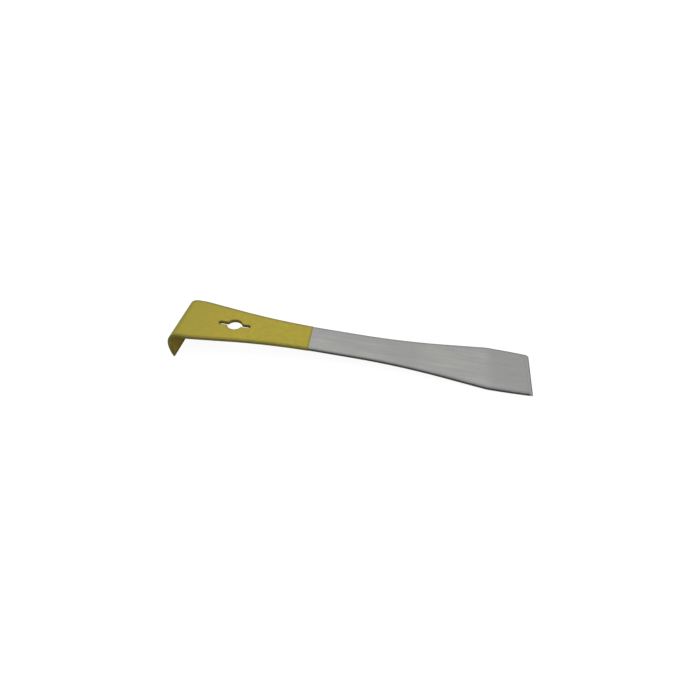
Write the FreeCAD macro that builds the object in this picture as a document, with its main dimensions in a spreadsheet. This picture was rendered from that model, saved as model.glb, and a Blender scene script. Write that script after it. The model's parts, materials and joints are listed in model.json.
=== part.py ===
"""Flat pry bar with a bent hook at one end, a wide scraping blade at the other and a coated hook half.

Bar frame, in millimetres: +X runs along the bar from the hook to the blade, +Y across it, +Z up.
X is 0 at the back of the hook, Z is 0 on the bar's flat top face, and the hook's lip points down.
Every sub-part has the same Placement, which lays the bar on a bench: the lip's edge and the
blade's edge both touch Z = 0, and the origin is on the bench below the middle of the whole bar.
"""

import FreeCAD, Part
import Sketcher
import math
import os

SIZES = {
    # the flat strip and its bent end, seen from the side
    "overall_length": 254.0,
    "strip_thickness": 2.1,
    "bend_radius": 7.9,
    "lip_curl_radius": 33.0,
    "lip_depth": 20.1,
    "lip_edge_land": 0.85,
    "blade_bevel": 2.0,
    "blade_edge_land": 0.7,
    # the outline's half widths and radii, seen from above
    "hook_half": 20.2,
    "hook_corner_radius": 30.0,
    "taper_end": 43.2,
    "hook_neck_radius": 430.0,
    "waist_start": 104.2,
    "waist_half": 11.75,
    "waist_end": 131.0,
    "blade_neck_radius": 460.0,
    "flare_start": 194.0,
    "shoulder_radius": 20.0,
    "shoulder_end": 224.5,
    "blade_side_radius": 400.0,
    "tip_half": 19.05,
    # the hook's sides swell to the lip's half width, seen from the hook end
    "lip_half": 21.6,
    "lip_swell_radius": 16.0,
    "hook_reach": 8.8,
    # the nail hole and the slots either side of it
    "hole_place": 42.5,
    "hole_diameter": 11.0,
    "slot_length": 23.6,
    "slot_width": 3.6,
    # the coating on the hook half
    "film": 0.2,
    "coating_end": 98.5,
    "coating_slant": 4.0,
    # the broken edges
    "steel_edge_radius": 0.3,
    "coated_edge_radius": 0.5,
    # the cutting sketches reach past the strip by this much, and this far out sideways
    "margin": 3.0,
    "stock_half": 26.0,
}

# how much of a face's direction points across the bar, at most for a broad face and at least for a side
FACE_TILT = 0.1
SIDE_TILT = 0.8

# an outline edge is longer than the strip's corners by this much, and a cut removes at least this volume
LENGTH_SLACK = 0.05
LEAST_CUT = 1.0

# The bar leans down from the hook to the blade by this angle when it rests on a bench.
LEAN = (
    "atan((sizes.lip_depth + sizes.film - sizes.strip_thickness)"
    " / (sizes.overall_length - sizes.strip_thickness - sizes.film))"
)
REST_HEIGHT = f"sizes.overall_length * sin({LEAN}) + sizes.strip_thickness * cos({LEAN})"
BLADE_REACH = (
    f"sizes.overall_length * cos({LEAN}) - (sizes.strip_thickness - sizes.blade_edge_land) * sin({LEAN})"
)
BACK_REACH = f"sizes.film + sizes.bend_radius * (1 - cos({LEAN}) + sin({LEAN}))"
REST_PLACEMENT = (
    f"placement(vector(({BACK_REACH} - ({BLADE_REACH})) / 2; 0; {REST_HEIGHT});"
    f" rotation(vector(0; 1; 0); {LEAN}))"
)


def make_sheet(doc):
    sheet = doc.addObject("Spreadsheet::Sheet", "sizes")
    for row, (alias, value) in enumerate(SIZES.items(), start=1):
        sheet.set(f"A{row}", alias.replace("_", " "))
        sheet.set(f"B{row}", str(value))
        sheet.setAlias(f"B{row}", alias)
    doc.recompute()


def origin_plane(body, role):
    return next(item for item in body.Origin.OriginFeatures if item.Role == role)


def new_sketch(body, name, role):
    """A sketch that lies on one of its own body's origin planes."""
    sketch = body.newObject("Sketcher::SketchObject", name)
    sketch.AttachmentSupport = [(origin_plane(body, role), "")]
    sketch.MapMode = "FlatFace"
    return sketch


def value_of(sketch, formula):
    result = sketch.evalExpression(formula)
    return float(getattr(result, "Value", result))


def bind(sketch, kind, items, formula):
    """Adds a driving dimension that follows a formula of the sheet's sizes."""
    index = sketch.addConstraint(Sketcher.Constraint(kind, *items, value_of(sketch, formula)))
    name = f"size_{index}"
    sketch.renameConstraint(index, name)
    sketch.setExpression(f"Constraints.{name}", formula)


def place_point(sketch, edge, end, across, along):
    """Holds one end of an edge at a place worked out from the sizes."""
    bind(sketch, "DistanceX", (-1, 1, edge, end), across)
    bind(sketch, "DistanceY", (-1, 1, edge, end), along)


def add_line(sketch, start, end):
    first = FreeCAD.Vector(*start, 0)
    last = FreeCAD.Vector(*end, 0)
    return sketch.addGeometry(Part.LineSegment(first, last), False)


def add_arc(sketch, centre, start, end):
    """An arc that runs anticlockwise about its centre from start to end."""
    first = math.atan2(start[1] - centre[1], start[0] - centre[0])
    last = math.atan2(end[1] - centre[1], end[0] - centre[0])
    circle = Part.Circle(FreeCAD.Vector(*centre, 0), FreeCAD.Vector(0, 0, 1), math.dist(centre, start))
    return sketch.addGeometry(Part.ArcOfCircle(circle, first, last), False)


def join(sketch, edge, end, next_edge, next_end, kind="Coincident"):
    sketch.addConstraint(Sketcher.Constraint(kind, edge, end, next_edge, next_end))


def close_polygon(sketch, points):
    """A closed polygon whose corners follow pairs of formulas."""
    places = [tuple(value_of(sketch, formula) for formula in point) for point in points]
    count = len(points)
    edges = [add_line(sketch, places[i], places[(i + 1) % count]) for i in range(count)]
    for i, edge in enumerate(edges):
        join(sketch, edge, 2, edges[(i + 1) % count], 1)
        place_point(sketch, edge, 1, *points[i])


def side_profile(body, grow):
    """The strip's closed outline from the side: blade bevel, flat, bend and thinned, inward-curled lip."""
    sketch = new_sketch(body, f"{body.Name}_side", "XZ_Plane")
    under = f"-(sizes.strip_thickness + {grow})"
    bottom = f"-(sizes.lip_depth + {grow})"
    curl = "sizes.lip_curl_radius - sqrt(sizes.lip_curl_radius^2 - (sizes.lip_depth - sizes.bend_radius)^2)"
    corners = {
        "tip_low": ("sizes.overall_length", under),
        "tip_high": ("sizes.overall_length", f"sizes.blade_edge_land - sizes.strip_thickness + {grow}"),
        "bevel": ("sizes.overall_length - sizes.blade_bevel", grow),
        "bend_top": ("sizes.bend_radius", grow),
        "bend_back": (f"-({grow})", "-sizes.bend_radius"),
        "lip_back": (f"{curl} - {grow}", bottom),
        "lip_front": (f"{curl} + sizes.lip_edge_land + {grow}", bottom),
        "bend_low": ("sizes.bend_radius", under),
    }
    at = {name: tuple(value_of(sketch, formula) for formula in pair) for name, pair in corners.items()}
    centre = (at["bend_top"][0], at["bend_back"][1])
    curl_centre = (value_of(sketch, "sizes.lip_curl_radius"), centre[1])
    root = tangent_point(centre, math.dist(centre, at["bend_low"]), at["lip_front"])

    tip = add_line(sketch, at["tip_low"], at["tip_high"])
    bevel = add_line(sketch, at["tip_high"], at["bevel"])
    flat = add_line(sketch, at["bevel"], at["bend_top"])
    outer_bend = add_arc(sketch, centre, at["bend_top"], at["bend_back"])
    lip_outside = add_arc(sketch, curl_centre, at["bend_back"], at["lip_back"])
    lip_edge = add_line(sketch, at["lip_back"], at["lip_front"])
    lip_inside = add_line(sketch, at["lip_front"], root)
    inner_bend = add_arc(sketch, centre, at["bend_low"], root)
    underside = add_line(sketch, at["bend_low"], at["tip_low"])

    join(sketch, outer_bend, 2, lip_outside, 1, "Tangent")
    join(sketch, lip_inside, 2, inner_bend, 2, "Tangent")
    for edge, following in ((tip, bevel), (bevel, flat), (flat, outer_bend), (lip_outside, lip_edge),
                            (lip_edge, lip_inside), (underside, tip)):
        join(sketch, edge, 2, following, 1)
    join(sketch, inner_bend, 1, underside, 1)
    starts = {"tip_low": tip, "tip_high": bevel, "bevel": flat, "bend_top": outer_bend,
              "lip_front": lip_inside, "bend_low": underside}
    for name, edge in starts.items():
        place_point(sketch, edge, 1, *corners[name])
    for bend in (outer_bend, inner_bend):
        place_point(sketch, bend, 3, "sizes.bend_radius", "-sizes.bend_radius")
    place_point(sketch, lip_outside, 3, "sizes.lip_curl_radius", "-sizes.bend_radius")
    bind(sketch, "DistanceY", (-1, 1, lip_outside, 2), bottom)
    return sketch


def tangent_point(centre, radius, point):
    """Where the line from a point touches a circle, on the side that faces away from +X."""
    reach = math.dist(centre, point)
    toward = math.atan2(point[1] - centre[1], point[0] - centre[0])
    angle = toward - math.acos(radius / reach)
    return (centre[0] + radius * math.cos(angle), centre[1] + radius * math.sin(angle))


def plan_outline(body, grow):
    """What is cut away beside the strip, seen from above: hook taper, waist, flare, shoulder, tip."""
    sketch = new_sketch(body, f"{body.Name}_plan", "XY_Plane")
    size = {name: value_of(sketch, f"sizes.{name}") for name in SIZES}
    waist = size["waist_half"] + value_of(sketch, grow)
    end = size["overall_length"]
    far = end + size["margin"]
    near = size["hook_reach"]
    out = size["stock_half"]
    hook_half = size["hook_half"] + value_of(sketch, grow)
    hook_run = size["waist_start"] - size["taper_end"]
    blade_run = size["flare_start"] - size["waist_end"]
    hook_rise = hook_run**2 / (2 * size["hook_neck_radius"])
    blade_rise = blade_run**2 / (2 * size["blade_neck_radius"])
    hook_slope = hook_run / size["hook_neck_radius"]
    blade_slope = blade_run / size["blade_neck_radius"]
    shoulder = size["shoulder_end"]
    shoulder_start = shoulder - size["shoulder_radius"] * blade_slope
    wide = waist + blade_rise + blade_slope * (shoulder_start - size["flare_start"])
    tip = size["tip_half"] + value_of(sketch, grow)

    taper_start = size["taper_end"] - (hook_half - waist - hook_rise) / hook_slope
    corner_half = size["hook_corner_radius"] * hook_slope / 2
    corner_centre = (taper_start - corner_half, hook_half - size["hook_corner_radius"])
    corner_end = (taper_start + corner_half, hook_half - hook_slope * corner_half)
    taper_end = (size["taper_end"], waist + hook_rise)
    waist_start = (size["waist_start"], waist)
    waist_end = (size["waist_end"], waist)
    flare_start = (size["flare_start"], waist + blade_rise)
    hook_side = add_line(sketch, (near, hook_half), (corner_centre[0], hook_half))
    hook_corner = add_arc(sketch, corner_centre, corner_end, (corner_centre[0], hook_half))
    taper = add_line(sketch, corner_end, taper_end)
    hook_neck = add_arc(sketch, (waist_start[0], waist + size["hook_neck_radius"]), taper_end, waist_start)
    waist_line = add_line(sketch, waist_start, waist_end)
    blade_neck = add_arc(sketch, (waist_end[0], waist + size["blade_neck_radius"]), waist_end, flare_start)
    flare = add_line(sketch, flare_start, (shoulder_start, wide))
    round_centre = (shoulder, wide - size["shoulder_radius"])
    shoulder_arc = add_arc(sketch, round_centre, (shoulder, wide), (shoulder_start, wide))
    side_centre = (shoulder, wide - size["blade_side_radius"])
    blade_side = add_arc(sketch, side_centre, (end, tip), (shoulder, wide))
    tip_line = add_line(sketch, (end, tip), (far, tip))
    end_line = add_line(sketch, (far, tip), (far, out))
    long_line = add_line(sketch, (far, out), (near, out))
    start_line = add_line(sketch, (near, out), (near, hook_half))

    join(sketch, hook_side, 2, hook_corner, 2, "Tangent")
    join(sketch, hook_corner, 1, taper, 1, "Tangent")
    join(sketch, taper, 2, hook_neck, 1, "Tangent")
    join(sketch, hook_neck, 2, waist_line, 1, "Tangent")
    join(sketch, waist_line, 2, blade_neck, 1, "Tangent")
    join(sketch, blade_neck, 2, flare, 1, "Tangent")
    join(sketch, flare, 2, shoulder_arc, 2, "Tangent")
    join(sketch, shoulder_arc, 1, blade_side, 2, "Tangent")
    join(sketch, blade_side, 1, tip_line, 1)
    join(sketch, tip_line, 2, end_line, 1)
    join(sketch, end_line, 2, long_line, 1)
    join(sketch, long_line, 2, start_line, 1)
    join(sketch, start_line, 2, hook_side, 1)
    for edge in (hook_side, waist_line, tip_line, long_line):
        sketch.addConstraint(Sketcher.Constraint("Horizontal", edge))
    for edge in (end_line, start_line):
        sketch.addConstraint(Sketcher.Constraint("Vertical", edge))
    place_point(sketch, waist_line, 1, "sizes.waist_start", f"sizes.waist_half + {grow}")
    place_point(sketch, blade_side, 1, "sizes.overall_length", f"sizes.tip_half + {grow}")
    place_point(sketch, long_line, 1, "sizes.overall_length + sizes.margin", "sizes.stock_half")
    place_point(sketch, hook_side, 1, "sizes.hook_reach", f"sizes.hook_half + {grow}")
    bind(sketch, "Radius", (hook_corner,), "sizes.hook_corner_radius")
    bind(sketch, "DistanceX", (-1, 1, taper, 2), "sizes.taper_end")
    bind(sketch, "DistanceX", (-1, 1, waist_line, 2), "sizes.waist_end")
    bind(sketch, "DistanceX", (-1, 1, flare, 1), "sizes.flare_start")
    bind(sketch, "DistanceX", (-1, 1, blade_side, 2), "sizes.shoulder_end")
    bind(sketch, "Radius", (hook_neck,), "sizes.hook_neck_radius")
    bind(sketch, "Radius", (blade_neck,), "sizes.blade_neck_radius")
    bind(sketch, "Radius", (shoulder_arc,), "sizes.shoulder_radius")
    bind(sketch, "Radius", (blade_side,), "sizes.blade_side_radius")
    return sketch


def hook_outline(body, grow):
    """What is cut away beside the hook, seen from its end: the sides swell out below the flat."""
    sketch = new_sketch(body, f"{body.Name}_hook", "YZ_Plane")
    hook_half = value_of(sketch, f"sizes.hook_half + {grow}")
    lip_half = value_of(sketch, f"sizes.lip_half + {grow}")
    radius = value_of(sketch, "sizes.lip_swell_radius")
    top = value_of(sketch, "sizes.margin")
    bottom = -value_of(sketch, "sizes.lip_depth + sizes.margin")
    out = value_of(sketch, "sizes.stock_half")
    swell = (lip_half - hook_half) / 2
    drop = math.sqrt(radius**2 - (radius - swell) ** 2)
    swell_start = -value_of(sketch, f"sizes.strip_thickness + {grow}")
    middle = (hook_half + swell, swell_start - drop)
    swell_end = swell_start - 2 * drop

    flat_side = add_line(sketch, (hook_half, top), (hook_half, swell_start))
    hollow = add_arc(sketch, (hook_half + radius, swell_start), (hook_half, swell_start), middle)
    crown = add_arc(sketch, (lip_half - radius, swell_end), (lip_half, swell_end), middle)
    lip_side = add_line(sketch, (lip_half, swell_end), (lip_half, bottom))
    low_line = add_line(sketch, (lip_half, bottom), (out, bottom))
    out_line = add_line(sketch, (out, bottom), (out, top))
    top_line = add_line(sketch, (out, top), (hook_half, top))

    join(sketch, flat_side, 2, hollow, 1, "Tangent")
    join(sketch, hollow, 2, crown, 2, "Tangent")
    join(sketch, crown, 1, lip_side, 1, "Tangent")
    for edge, following in ((lip_side, low_line), (low_line, out_line), (out_line, top_line),
                            (top_line, flat_side)):
        join(sketch, edge, 2, following, 1)
    for edge in (flat_side, lip_side, out_line):
        sketch.addConstraint(Sketcher.Constraint("Vertical", edge))
    for edge in (low_line, top_line):
        sketch.addConstraint(Sketcher.Constraint("Horizontal", edge))
    place_point(sketch, flat_side, 2, f"sizes.hook_half + {grow}", f"-(sizes.strip_thickness + {grow})")
    place_point(sketch, out_line, 2, "sizes.stock_half", "sizes.margin")
    place_point(sketch, lip_side, 2, f"sizes.lip_half + {grow}", "-(sizes.lip_depth + sizes.margin)")
    bind(sketch, "Radius", (hollow,), "sizes.lip_swell_radius")
    bind(sketch, "Radius", (crown,), "sizes.lip_swell_radius")
    return sketch


def cut_through(body, sketch, length=None):
    """A pocket both ways from its sketch: through everything, or for a stated length in all."""
    before = body.Tip.Shape.Volume
    pocket = body.newObject("PartDesign::Pocket", f"{sketch.Name}_cut")
    pocket.Profile = sketch
    pocket.Midplane = True
    if length is None:
        pocket.Type = "ThroughAll"
    else:
        pocket.Type = "Length"
        pocket.setExpression("Length", length)
    return checked_cut(body, pocket, before)


def checked_cut(body, feature, before):
    """Recomputes a cutting feature, makes sure that it took material away and puts it last in the body."""
    feature.Document.recompute()
    if feature.Shape.Volume > before - LEAST_CUT:
        raise RuntimeError(f"{feature.Name} cut nothing")
    body.Tip = feature
    return feature


def mirror_cut(body, pocket):
    """Repeats a pocket on the other side of the bar's middle plane."""
    before = body.Tip.Shape.Volume
    mirrored = body.newObject("PartDesign::Mirrored", f"{pocket.Name}_far")
    mirrored.Originals = [pocket]
    mirrored.MirrorPlane = (origin_plane(body, "XZ_Plane"), [""])
    checked_cut(body, mirrored, before)


def hole_sketches(body, grow):
    """The round nail hole, and the narrow round-ended slot along the bar through its middle."""
    hole = new_sketch(body, f"{body.Name}_hole", "XY_Plane")
    middle = value_of(hole, "sizes.hole_place")
    radius = value_of(hole, f"sizes.hole_diameter / 2 - {grow}")
    circle = Part.Circle(FreeCAD.Vector(middle, 0, 0), FreeCAD.Vector(0, 0, 1), radius)
    ring = hole.addGeometry(circle, False)
    hole.addConstraint(Sketcher.Constraint("PointOnObject", ring, 3, -1))
    bind(hole, "DistanceX", (-1, 1, ring, 3), "sizes.hole_place")
    bind(hole, "Radius", (ring,), f"sizes.hole_diameter / 2 - {grow}")

    slot = new_sketch(body, f"{body.Name}_slot", "XY_Plane")
    half = value_of(slot, f"sizes.slot_width / 2 - {grow}")
    reach = value_of(slot, "(sizes.slot_length - sizes.slot_width) / 2")
    left, right = middle - reach, middle + reach
    lower = add_line(slot, (left, -half), (right, -half))
    right_end = add_arc(slot, (right, 0), (right, -half), (right, half))
    upper = add_line(slot, (right, half), (left, half))
    left_end = add_arc(slot, (left, 0), (left, half), (left, -half))
    for edge, following in ((lower, right_end), (right_end, upper), (upper, left_end), (left_end, lower)):
        join(slot, edge, 2, following, 1, "Tangent")
    for end in (right_end, left_end):
        slot.addConstraint(Sketcher.Constraint("PointOnObject", end, 3, -1))
    bind(slot, "Radius", (right_end,), f"sizes.slot_width / 2 - {grow}")
    half_reach = "(sizes.slot_length - sizes.slot_width) / 2"
    bind(slot, "DistanceX", (-1, 1, left_end, 3), f"sizes.hole_place - {half_reach}")
    bind(slot, "DistanceX", (-1, 1, right_end, 3), f"sizes.hole_place + {half_reach}")
    return hole, slot


def outline_edges(shape):
    """Names of the long edges between the strip's broad faces and its sides."""
    names = []
    shortest = SIZES["strip_thickness"] + 2 * SIZES["film"] + LENGTH_SLACK
    inside = SIZES["slot_length"] / 3
    for index, edge in enumerate(shape.Edges, start=1):
        middle = edge.valueAt((edge.FirstParameter + edge.LastParameter) / 2)
        faces = shape.ancestorsOfType(edge, Part.Face)
        across = [abs(face_normal(face, middle).y) for face in faces]
        meets_side = min(across) < FACE_TILT and max(across) > SIDE_TILT
        if meets_side and edge.Length > shortest and abs(middle.y) > inside:
            names.append(f"Edge{index}")
    return names


def face_normal(face, point):
    across, along = face.Surface.parameter(point)
    return face.normalAt(across, along)


def strip_body(doc, name, grow):
    """The whole bent, outlined and pierced strip, grown outwards by the given film."""
    body = doc.addObject("PartDesign::Body", name)
    body.Label = name
    pad = body.newObject("PartDesign::Pad", f"{name}_strip")
    pad.Profile = side_profile(body, grow)
    pad.Midplane = True
    # the stock is wider than the bar, but narrower than the cuts' reach on each side
    pad.setExpression("Length", "2 * sizes.stock_half - sizes.margin")
    doc.recompute()
    mirror_cut(body, cut_through(body, plan_outline(body, grow)))
    mirror_cut(body, cut_through(body, hook_outline(body, grow), "2 * sizes.hook_reach"))
    for sketch in hole_sketches(body, grow):
        cut_through(body, sketch)
    return body


def break_edges(body, radius):
    last = body.Tip
    fillet = body.newObject("PartDesign::Fillet", f"{body.Name}_edges")
    fillet.Base = (last, outline_edges(last.Shape))
    fillet.setExpression("Radius", radius)
    body.Document.recompute()
    body.Tip = fillet


def dip_line(body):
    """Takes the coated form away beyond the slanted line where the coating stops."""
    sketch = new_sketch(body, f"{body.Name}_dip", "XY_Plane")
    lean = "sizes.stock_half * tan(sizes.coating_slant)"
    corners = [
        (f"sizes.coating_end + {lean}", "-sizes.stock_half"),
        ("sizes.overall_length + sizes.margin", "-sizes.stock_half"),
        ("sizes.overall_length + sizes.margin", "sizes.stock_half"),
        (f"sizes.coating_end - {lean}", "sizes.stock_half"),
    ]
    close_polygon(sketch, corners)
    cut_through(body, sketch)


def check(doc, pieces):
    for item in doc.Objects:
        if "Invalid" in item.State or "Error" in item.State:
            raise RuntimeError(f"{item.Name} failed: {item.State}")
    for piece in pieces:
        if piece.Shape.isNull() or not piece.Shape.isValid():
            raise RuntimeError(f"{piece.Label} has no valid shape")


def main():
    doc = FreeCAD.newDocument("pry_bar")
    make_sheet(doc)

    bar = strip_body(doc, "steel_bar", "0")
    break_edges(bar, "sizes.steel_edge_radius")

    coated_form = strip_body(doc, "coated_form", "sizes.film")
    dip_line(coated_form)
    break_edges(coated_form, "sizes.coated_edge_radius")
    for body in (bar, coated_form):
        body.setExpression("Placement", REST_PLACEMENT)

    coating = doc.addObject("Part::Cut", "coating")
    coating.Label = "yellow_coating"
    coating.Base = coated_form
    coating.Tool = bar
    doc.recompute()

    pieces = [bar, coating]
    check(doc, pieces)
    os.makedirs("parts", exist_ok=True)
    for piece in pieces:
        piece.Shape.exportStep(f"parts/{piece.Label}.step")
        print(piece.Label, f"{piece.Shape.Volume:.1f} mm3,", len(piece.Shape.Solids), "solid")


main()
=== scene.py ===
"""Looks of the flat pry bar: brushed bare steel, a dipped yellow coating, a pale floor and soft studio light.

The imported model's own nodes are shown, and each gets a material worked out in the bar's own frame.
That frame's origin is the middle of the nail hole: +X runs along the bar towards the blade, +Y across
it and +Z out of its upper face. Lengths are in metres.
"""

import json
import math

import bmesh
import bpy
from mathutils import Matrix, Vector


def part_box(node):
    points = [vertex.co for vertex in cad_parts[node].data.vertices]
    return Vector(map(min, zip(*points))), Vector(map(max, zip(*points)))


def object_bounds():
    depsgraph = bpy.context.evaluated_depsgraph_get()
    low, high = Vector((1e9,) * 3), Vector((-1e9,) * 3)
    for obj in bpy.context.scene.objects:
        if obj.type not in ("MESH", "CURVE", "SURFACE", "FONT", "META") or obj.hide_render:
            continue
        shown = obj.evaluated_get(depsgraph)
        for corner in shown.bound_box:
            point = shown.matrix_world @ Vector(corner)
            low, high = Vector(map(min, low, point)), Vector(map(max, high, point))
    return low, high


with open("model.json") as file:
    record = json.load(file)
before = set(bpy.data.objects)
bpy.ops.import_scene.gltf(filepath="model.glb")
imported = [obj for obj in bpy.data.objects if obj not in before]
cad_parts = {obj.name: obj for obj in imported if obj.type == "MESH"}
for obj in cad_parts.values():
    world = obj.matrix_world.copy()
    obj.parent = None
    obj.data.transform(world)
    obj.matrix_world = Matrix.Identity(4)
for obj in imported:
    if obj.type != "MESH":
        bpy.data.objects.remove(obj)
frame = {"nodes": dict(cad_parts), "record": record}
cad_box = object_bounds()

# the ground bevel at the blade's edge, and its side corners, ground clean by the same grinding and lightened
# by a painted highlight
BEVEL = 0.002
CLEAN_CORNER = 0.003
# the bevel's own start is this soft, and a painted highlight line just before it lies between these distances
BEVEL_BLEND = 0.00015
HIGHLIGHT_LINE_START = 0.0006
HIGHLIGHT_LINE_END = 0.0001

# the darker tone at the blade's end, and how far its tone fades out before and after its start
BLADE_LENGTH = 0.030
BLADE_FADE_BEFORE = 0.004
BLADE_FADE_AFTER = 0.006

# a darker stretch of the bare steel: from the nail hole to its middle, and from there to its ends
DARKER_STRETCH_MIDDLE = 0.122
DARKER_STRETCH_HALF = 0.020

# half the length and half the width of the stretch round the nail hole and its slots
HOLE_REACH = 0.0145
HOLE_SIDE = 0.0090

# the coating darkens towards the hook between these places along the bar
HOOK_DARKENING_FROM = 0.010
HOOK_DARKENING_FULL = -0.040

# how far in from the edges the painted shade reaches, and how round the coating lies over the steel's edges
STEEL_RIM = 0.0035
COATING_RIM = 0.003
COATED_EDGE = 0.0015

# the floor that the light meets lies this far below the one that the camera sees
FLOOR_GAP = 0.0002
# how far the floor and the backdrop reach from the bar
STAGE = 3.0

# the camera's place and aim, and its turn about its own line of sight in radians
CAMERA_PLACE = (0.0470, -0.2659, 0.2546)
CAMERA_AIM = (0.0016, -0.0066, 0.0116)
CAMERA_ROLL = -0.0046
LENS_MM = 26.4

# each lamp's place, its width and height, and its power in watts
TOP_SOFTBOX = ((-0.2, -0.35, 1.5), 1.6, 1.6, 19)
LOW_FILL = ((0.45, -0.45, 0.12), 0.4, 0.2, 1.5)

# the sky's strength below and overhead, and how high its brightening starts and ends
SKY_LOW = 0.12
SKY_HIGH = 0.85
SKY_RISE = (-0.1, 0.75)


def grey(level, warmth=0.0):
    """A neutral tone, or a slightly warm one: less blue, and a little less red."""
    return (level * (1 - warmth / 4), level, level * (1 - warmth), 1.0)


STEEL_TONES = {
    "cool cloud": grey(0.445, 0.01),
    "warm cloud": grey(0.525, 0.06),
    # darker towards the blade's end
    "darker blade end": grey(0.365, 0.02),
    # a darker stretch part way along the bar
    "darker stretch": grey(0.385, 0.01),
    "stain": grey(0.38, 0.03),
    "streak": grey(0.385, 0.04),
    "hair line": grey(0.58, 0.04),
    "scratch": grey(0.62, 0.03),
    # painted shade on the blanked sides, with their blanking streaks
    "shaded side dark streak": grey(0.09),
    "shaded side pale streak": grey(0.18),
    # painted shade along the edges
    "rim": grey(0.20),
    # ground-clean steel at the blade's side corners, lightened by a painted highlight
    "ground_clean_and_highlit": grey(0.85),
    # the bevel: ground steel lightened by a painted highlight, then painted shade at its edge
    "bevel": grey(0.85),
    "shaded bevel edge": grey(0.42),
    # a painted highlight line just before the bevel
    "highlight_line": grey(0.62),
}

COATING_TONES = {
    "ochre cloud": (0.298, 0.218, 0.009, 1),
    "green cloud": (0.264, 0.244, 0.008, 1),
    "mottle": (0.236, 0.194, 0.012, 1),
    "grit": (0.330, 0.260, 0.016, 1),
    # darker towards the hook
    "darker near hook": (0.238, 0.194, 0.009, 1),
    # painted shade on the back of the hook
    "shaded back of hook": (0.200, 0.185, 0.018, 1),
    # browner painted shade on the inside of the hook
    "shaded inside of hook": (0.266, 0.182, 0.022, 1),
    # painted shade on the bar's sides
    "side": (0.135, 0.108, 0.009, 1),
    # painted shade along the outline
    "rim": (0.130, 0.110, 0.009, 1),
}


class Tree:
    """A material's node tree, with short calls for the nodes used here."""

    def __init__(self, name):
        self.material = bpy.data.materials.new(name)
        self.material.use_nodes = True
        self.nodes = self.material.node_tree.nodes
        self.links = self.material.node_tree.links
        self.shader = next(node for node in self.nodes if node.type == "BSDF_PRINCIPLED")

    def add(self, kind, inputs=None, **settings):
        """A new node with its inputs linked or set."""
        node = self.nodes.new(kind)
        for name, value in settings.items():
            setattr(node, name, value)
        for name, value in (inputs or {}).items():
            self.put(node.inputs[name], value)
        return node

    def put(self, socket, value):
        """Links a node's output to a socket, or sets the socket's own value."""
        if isinstance(value, bpy.types.NodeSocket):
            self.links.new(value, socket)
        else:
            socket.default_value = value

    def bar_frame(self):
        """Position in the bar's own frame, in metres."""
        place = self.add("ShaderNodeTexCoord").outputs["Object"]
        hole = bar_mount()
        mapping = self.add("ShaderNodeMapping", {"Vector": place}, vector_type="TEXTURE")
        mapping.inputs["Location"].default_value = hole["pos_m"]
        mapping.inputs["Rotation"].default_value = (0, bar_lean(), 0)
        return mapping.outputs["Vector"]

    def bar_normal(self):
        """The surface's own direction in the bar's frame, as x, y and z outputs."""
        normal = self.add("ShaderNodeNewGeometry").outputs["Normal"]
        turned = self.add("ShaderNodeMapping", {"Vector": normal}, vector_type="TEXTURE")
        turned.inputs["Rotation"].default_value = (0, bar_lean(), 0)
        return self.add("ShaderNodeSeparateXYZ", {"Vector": turned.outputs["Vector"]}).outputs

    def stretched(self, place, spacing_mm):
        """Position counted in cells of the given size along, across and through the bar."""
        cells = [1000 / size for size in spacing_mm]
        return self.add("ShaderNodeMapping", {"Vector": place, "Scale": cells}).outputs["Vector"]

    def noise(self, place, spacing_mm, detail=2.0, roughness=0.5, seed=0.0):
        """Smooth noise between 0 and 1, with cells of the given size along, across and through the bar."""
        inputs = {"Vector": self.stretched(place, spacing_mm), "W": seed, "Scale": 1.0,
                  "Detail": detail, "Roughness": roughness}
        return self.add("ShaderNodeTexNoise", inputs, noise_dimensions="4D").outputs["Fac"]

    def math(self, operation, first, second=0.0):
        node = self.add("ShaderNodeMath", operation=operation)
        self.put(node.inputs[0], first)
        self.put(node.inputs[1], second)
        return node.outputs[0]

    def ramp(self, value, low, high, to_low=0.0, to_high=1.0):
        """Value between low and high, spread smoothly from to_low to to_high."""
        inputs = {"Value": value, "From Min": low, "From Max": high, "To Min": to_low, "To Max": to_high}
        return self.add("ShaderNodeMapRange", inputs, interpolation_type="SMOOTHSTEP").outputs["Result"]

    def mix(self, share, first, second):
        """The first tone where share is 0, and the second where it is 1."""
        node = self.add("ShaderNodeMix", data_type="RGBA")
        self.put(node.inputs["Factor"], share)
        self.put(node.inputs["A"], first)
        self.put(node.inputs["B"], second)
        return node.outputs["Result"]

    def bump(self, height, depth_mm, normal=None):
        """Raises the surface by up to depth_mm where height is 1."""
        node = self.add("ShaderNodeBump", {"Height": height, "Distance": depth_mm / 1000, "Strength": 1.0})
        if normal is not None:
            self.put(node.inputs["Normal"], normal)
        return node.outputs["Normal"]


def bar_mount():
    """The nail hole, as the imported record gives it."""
    return next(mount for mount in frame["record"]["mounts"] if mount["name"] == "hanging_hole")


def bar_lean():
    """How far the bar leans down from the hook to the blade, in radians."""
    axis = bar_mount()["axis"]
    return math.atan2(axis[0], axis[2])


def bar_tip():
    """How far the blade's edge lies from the middle of the nail hole, along the bar."""
    return (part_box("steel_bar")[1][0] - bar_mount()["pos_m"][0]) / math.cos(bar_lean())


def rounded_normal(tree, radius):
    """The surface's direction as if its edges were rounded to the given radius."""
    return tree.add("ShaderNodeBevel", {"Radius": radius}, samples=6).outputs["Normal"]


def near_edge(tree, reach):
    """From 0 out on a face to 1 at its edge, over the given distance."""
    true = tree.add("ShaderNodeNewGeometry").outputs["Normal"]
    alike = tree.add("ShaderNodeVectorMath", operation="DOT_PRODUCT")
    tree.put(alike.inputs[0], rounded_normal(tree, reach))
    tree.put(alike.inputs[1], true)
    return tree.ramp(alike.outputs["Value"], 0.9995, 0.94)


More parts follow.
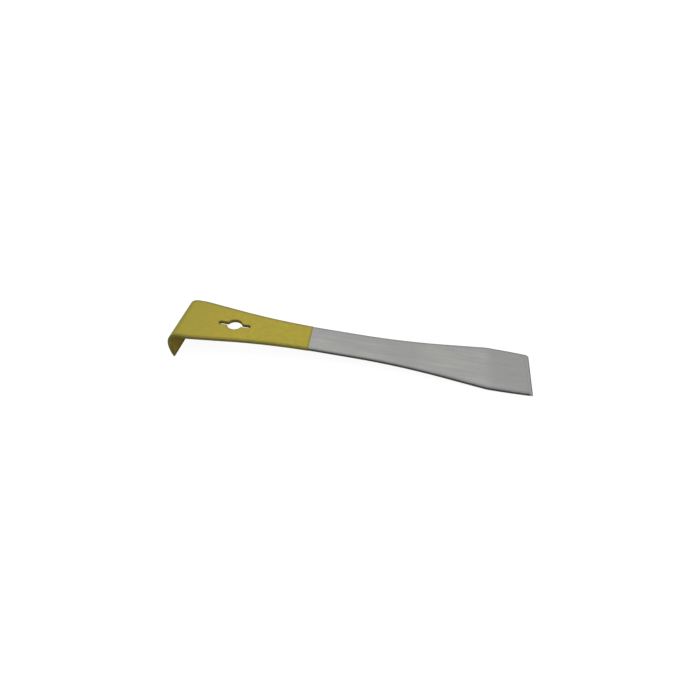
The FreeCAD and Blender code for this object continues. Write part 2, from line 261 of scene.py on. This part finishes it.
def clear_of_hole(tree, place):
    """0 round the nail hole and its slots, and 1 elsewhere."""
    parts = tree.add("ShaderNodeSeparateXYZ", {"Vector": place}).outputs
    along = tree.ramp(tree.math("ABSOLUTE", parts["X"]), HOLE_REACH, 1.1 * HOLE_REACH)
    across = tree.ramp(tree.math("ABSOLUTE", parts["Y"]), HOLE_SIDE, 1.1 * HOLE_SIDE)
    return tree.math("MAXIMUM", along, across)


def steel_material():
    """Cold-rolled strip, brushed along its length, with blanked sides darkened by painted shade, painted
    shade along its edges, and a fresh ground bevel lightened by a painted highlight.
    """
    tree = Tree("brushed_steel")
    tones = STEEL_TONES
    place = tree.bar_frame()
    normal = tree.bar_normal()
    along = tree.add("ShaderNodeSeparateXYZ", {"Vector": place}).outputs["X"]

    hair = tree.noise(place, (30, 0.22, 0.22), detail=3, seed=1)
    streak = tree.noise(place, (70, 1.3, 1.3), detail=2, seed=2)
    cloud = tree.noise(place, (34, 15, 15), detail=3, roughness=0.55, seed=3)
    stain = tree.noise(place, (7, 5, 5), detail=3, roughness=0.6, seed=5)
    scuff = tree.noise(place, (6, 0.10, 0.10), detail=1, seed=6)
    shear = tree.noise(place, (0.5, 0.5, 5), detail=2, seed=4)

    # the broad tones: clouds, a darker blade end and a darker stretch part way along the bar
    tone = tree.mix(tree.ramp(cloud, 0.35, 0.65), tones["cool cloud"], tones["warm cloud"])
    blade = bar_tip() - BLADE_LENGTH
    darker_blade_end = tree.ramp(along, blade - BLADE_FADE_BEFORE, blade + BLADE_FADE_AFTER, 0.0, 0.85)
    tone = tree.mix(darker_blade_end, tone, tones["darker blade end"])
    from_middle = tree.math("ABSOLUTE", tree.math("SUBTRACT", along, DARKER_STRETCH_MIDDLE))
    darker_stretch = tree.ramp(from_middle, DARKER_STRETCH_HALF, 0.3 * DARKER_STRETCH_HALF, 0.0, 0.6)
    tone = tree.mix(darker_stretch, tone, tones["darker stretch"])

    # the brushing and the wear
    tone = tree.mix(tree.ramp(stain, 0.35, 0.75, 0.0, 0.35), tone, tones["stain"])
    tone = tree.mix(tree.ramp(streak, 0.3, 0.7, 0.0, 0.6), tone, tones["streak"])
    tone = tree.mix(tree.ramp(hair, 0.3, 0.7, 0.0, 0.4), tone, tones["hair line"])
    scratched = tree.ramp(scuff, 0.66, 0.72, 0.0, 0.30)
    tone = tree.mix(scratched, tone, tones["scratch"])

    # the blanked sides with their streaks, darkened by painted shade; the sides at the blade's corners ground
    # clean and lightened by a painted highlight; and painted shade along every edge
    side = tree.ramp(tree.math("ABSOLUTE", normal["Y"]), 0.35, 0.75)
    tone = tree.mix(side, tone, tree.mix(shear, tones["shaded side dark streak"], tones["shaded side pale streak"]))
    ground_clean_and_highlit = tree.ramp(along, bar_tip() - CLEAN_CORNER, bar_tip() - 0.4 * CLEAN_CORNER)
    ground_clean_and_highlit = tree.math("MULTIPLY", side, ground_clean_and_highlit)
    tone = tree.mix(ground_clean_and_highlit, tone, tones["ground_clean_and_highlit"])
    # painted shade along every edge, stronger or weaker at random
    rim = tree.math("MULTIPLY", near_edge(tree, STEEL_RIM), tree.ramp(stain, 0.3, 0.7, 0.65, 0.9))
    rim = tree.math("MULTIPLY", rim, tree.math("SUBTRACT", 1.0, ground_clean_and_highlit))
    tone = tree.mix(rim, tone, tones["rim"])

    # the bevel, its ground steel lightened by a painted highlight where it starts and darkened by painted
    # shade at its edge, and a painted highlight along the line before it
    bevel_start = bar_tip() - BEVEL
    past_bevel = tree.ramp(along, bevel_start, bevel_start + BEVEL_BLEND)
    ground = tree.math("MULTIPLY", past_bevel, tree.ramp(normal["X"], 0.2, 0.4))
    bevel_edge_shade = tree.ramp(along, bar_tip() - 0.65 * BEVEL, bar_tip() - 0.3 * BEVEL)
    tone = tree.mix(ground, tone, tree.mix(bevel_edge_shade, tones["bevel"], tones["shaded bevel edge"]))
    before_bevel = tree.ramp(along, bevel_start - HIGHLIGHT_LINE_START, bevel_start - HIGHLIGHT_LINE_END)
    highlight_line = tree.math("MULTIPLY", before_bevel, tree.ramp(normal["Z"], 0.98, 0.99, 0.0, 0.6))
    tone = tree.mix(highlight_line, tone, tones["highlight_line"])
    tree.put(tree.shader.inputs["Base Color"], tone)

    rough = tree.math("ADD", tree.ramp(streak, 0.2, 0.8, 0.34, 0.44), tree.math("MULTIPLY", side, 0.15))
    rough = tree.math("SUBTRACT", rough, tree.math("MULTIPLY", scratched, 0.3))
    tree.put(tree.shader.inputs["Roughness"], rough)
    relief = tree.bump(hair, 0.004)
    relief = tree.bump(scratched, -0.004, relief)
    relief = tree.bump(tree.math("MULTIPLY", shear, side), 0.02, relief)
    tree.put(tree.shader.inputs["Normal"], relief)
    tree.shader.inputs["Metallic"].default_value = 1.0
    return tree.material


def coating_material():
    """Mustard-yellow dipped enamel, with a faint orange peel, a slightly uneven tone, and painted shade on
    its sides, its outline and the hook.
    """
    tree = Tree("yellow_enamel")
    tones = COATING_TONES
    place = tree.bar_frame()
    normal = tree.bar_normal()
    along = tree.add("ShaderNodeSeparateXYZ", {"Vector": place}).outputs["X"]

    cloud = tree.noise(place, (26, 18, 18), detail=3, roughness=0.6, seed=11)
    mottle = tree.noise(place, (3.5, 3.0, 3.0), detail=2, seed=12)
    peel = tree.noise(place, (1.1, 1.1, 1.1), detail=1, seed=13)
    grit = tree.noise(place, (0.35, 0.35, 0.35), detail=2, seed=14)

    tone = tree.mix(tree.ramp(cloud, 0.3, 0.7), tones["ochre cloud"], tones["green cloud"])
    tone = tree.mix(tree.ramp(mottle, 0.3, 0.7, 0.0, 0.8), tone, tones["mottle"])
    tone = tree.mix(tree.ramp(grit, 0.35, 0.7, 0.0, 0.4), tone, tones["grit"])

    # darker towards the hook; painted shade on the back of the hook, browner painted shade on its inside, and
    # painted shade on the bar's sides
    toward_hook = tree.ramp(along, HOOK_DARKENING_FROM, HOOK_DARKENING_FULL, 0.0, 0.75)
    tone = tree.mix(toward_hook, tone, tones["darker near hook"])
    # painted shade on the back of the hook
    tone = tree.mix(tree.ramp(normal["X"], -0.15, -0.5, 0.0, 0.8), tone, tones["shaded back of hook"])
    # browner painted shade on the inside of the hook
    tone = tree.mix(tree.ramp(normal["X"], 0.3, 0.9), tone, tones["shaded inside of hook"])
    # painted shade on the bar's sides
    side = tree.ramp(tree.math("ABSOLUTE", normal["Y"]), 0.35, 0.8)
    tone = tree.mix(side, tone, tones["side"])

    # painted shade along the outline, kept clear of the nail hole and its slots
    rim = tree.math("MULTIPLY", near_edge(tree, COATING_RIM), tree.ramp(mottle, 0.3, 0.7, 0.6, 0.85))
    rim = tree.math("MULTIPLY", rim, clear_of_hole(tree, place))
    tone = tree.mix(rim, tone, tones["rim"])
    tree.put(tree.shader.inputs["Base Color"], tone)

    gloss = tree.ramp(mottle, 0.25, 0.75, 0.36, 0.48)
    tree.put(tree.shader.inputs["Roughness"], gloss)
    relief = tree.bump(peel, 0.012, rounded_normal(tree, COATED_EDGE))
    relief = tree.bump(grit, 0.003, relief)
    tree.put(tree.shader.inputs["Normal"], relief)
    tree.shader.inputs["IOR"].default_value = 1.48
    return tree.material


def dress(node, material):
    """Gives a CAD node's mesh a new material."""
    for slot in frame["nodes"][node].material_slots:
        slot.material = material


def floor_material(name, level, glow):
    """A plain matt surface that can also glow, as a backlit white table does."""
    tree = Tree(name)
    place = tree.add("ShaderNodeTexCoord").outputs["Object"]
    tone = tree.mix(tree.noise(place, (90, 90, 90), seed=21), grey(level), grey(level * 1.02))
    tree.put(tree.shader.inputs["Base Color"], tone)
    tree.shader.inputs["Roughness"].default_value = 0.9
    tree.shader.inputs["Specular IOR Level"].default_value = 0.1
    tree.shader.inputs["Emission Color"].default_value = (1.0, 1.0, 1.0, 1.0)
    tree.shader.inputs["Emission Strength"].default_value = glow
    return tree.material


def add_stage(name, mesh, material, seen):
    """A floor or a backdrop that either only the camera sees, or only the light."""
    mesh.materials.append(material)
    item = bpy.data.objects.new(name, mesh)
    bpy.context.scene.collection.objects.link(item)
    item.visible_camera = seen
    for ray in ("visible_diffuse", "visible_glossy", "visible_transmission", "visible_shadow"):
        setattr(item, ray, not seen)


def add_floor(name, material, height, seen):
    """A flat square that reaches as far as the stage."""
    corners = [(x * STAGE, y * STAGE, height) for x, y in ((-1, -1), (1, -1), (1, 1), (-1, 1))]
    mesh = bpy.data.meshes.new(name)
    mesh.from_pydata(corners, [], [(0, 1, 2, 3)])
    add_stage(name, mesh, material, seen)


def add_backdrop(name, material):
    """A dome round the whole stage, so that no horizon shows."""
    mesh = bpy.data.meshes.new(name)
    dome = bmesh.new()
    bmesh.ops.create_icosphere(dome, subdivisions=4, radius=STAGE)
    dome.to_mesh(mesh)
    dome.free()
    add_stage(name, mesh, material, True)


def make_stage():
    """White for the camera, and a mid-grey floor for the light that comes back up to the bar."""
    add_floor("white_floor", floor_material("white_floor", level=0.09, glow=0.93), 0.0, True)
    add_floor("grey_floor", floor_material("grey_floor", level=0.26, glow=0.0), -FLOOR_GAP, False)
    add_backdrop("backdrop", floor_material("white_backdrop", level=0.0, glow=1.0))


def aim(item, place, target):
    """Puts a lamp or the camera at a place, looking at its target."""
    item.location = place
    item.rotation_euler = (Vector(target) - Vector(place)).to_track_quat("-Z", "Y").to_euler()


def add_softbox(name, target, place, width, height, power):
    """A rectangular lamp that isn't itself reflected in the bar."""
    light = bpy.data.lights.new(name, "AREA")
    light.shape = "RECTANGLE"
    light.size = width
    light.size_y = height
    light.energy = power
    softbox = bpy.data.objects.new(name, light)
    softbox.visible_glossy = False
    bpy.context.scene.collection.objects.link(softbox)
    aim(softbox, place, target)


def make_sky():
    """A white sky that is dim at the horizon and bright overhead."""
    world = bpy.data.worlds.new("studio")
    world.use_nodes = True
    tree = world.node_tree
    sky = tree.nodes["Background"]
    sky.inputs["Color"].default_value = (1.0, 1.0, 1.0, 1.0)
    direction = tree.nodes.new("ShaderNodeTexCoord").outputs["Generated"]
    height = tree.nodes.new("ShaderNodeSeparateXYZ")
    tree.links.new(direction, height.inputs["Vector"])
    rise = tree.nodes.new("ShaderNodeMapRange")
    tree.links.new(height.outputs["Z"], rise.inputs["Value"])
    rise.interpolation_type = "SMOOTHSTEP"
    rise.inputs["From Min"].default_value = SKY_RISE[0]
    rise.inputs["From Max"].default_value = SKY_RISE[1]
    rise.inputs["To Min"].default_value = SKY_LOW
    rise.inputs["To Max"].default_value = SKY_HIGH
    tree.links.new(rise.outputs["Result"], sky.inputs["Strength"])
    bpy.context.scene.world = world


def make_lights():
    """A large softbox overhead, and a small low one that lights the inside of the hook."""
    add_softbox("top_softbox", (0, 0, 0), *TOP_SOFTBOX)
    hook = [(low + high) / 2 for low, high in zip(*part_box("yellow_coating"))]
    hook[0] = cad_box[0][0]
    add_softbox("low_fill", hook, *LOW_FILL)


def make_camera():
    lens = bpy.data.cameras.new("camera")
    lens.lens = LENS_MM
    lens.clip_start = 0.01
    camera = bpy.data.objects.new("camera", lens)
    bpy.context.scene.collection.objects.link(camera)
    aim(camera, CAMERA_PLACE, CAMERA_AIM)
    camera.rotation_euler.rotate_axis("Z", CAMERA_ROLL)
    bpy.context.scene.camera = camera


def set_view():
    """Shows the tones as they are, with no film look."""
    view = bpy.context.scene.view_settings
    view.view_transform = "Standard"
    view.look = "None"
    view.exposure = 0.0
    view.gamma = 1.0


dress("steel_bar", steel_material())
dress("yellow_coating", coating_material())
make_stage()
make_sky()
make_lights()
make_camera()
set_view()
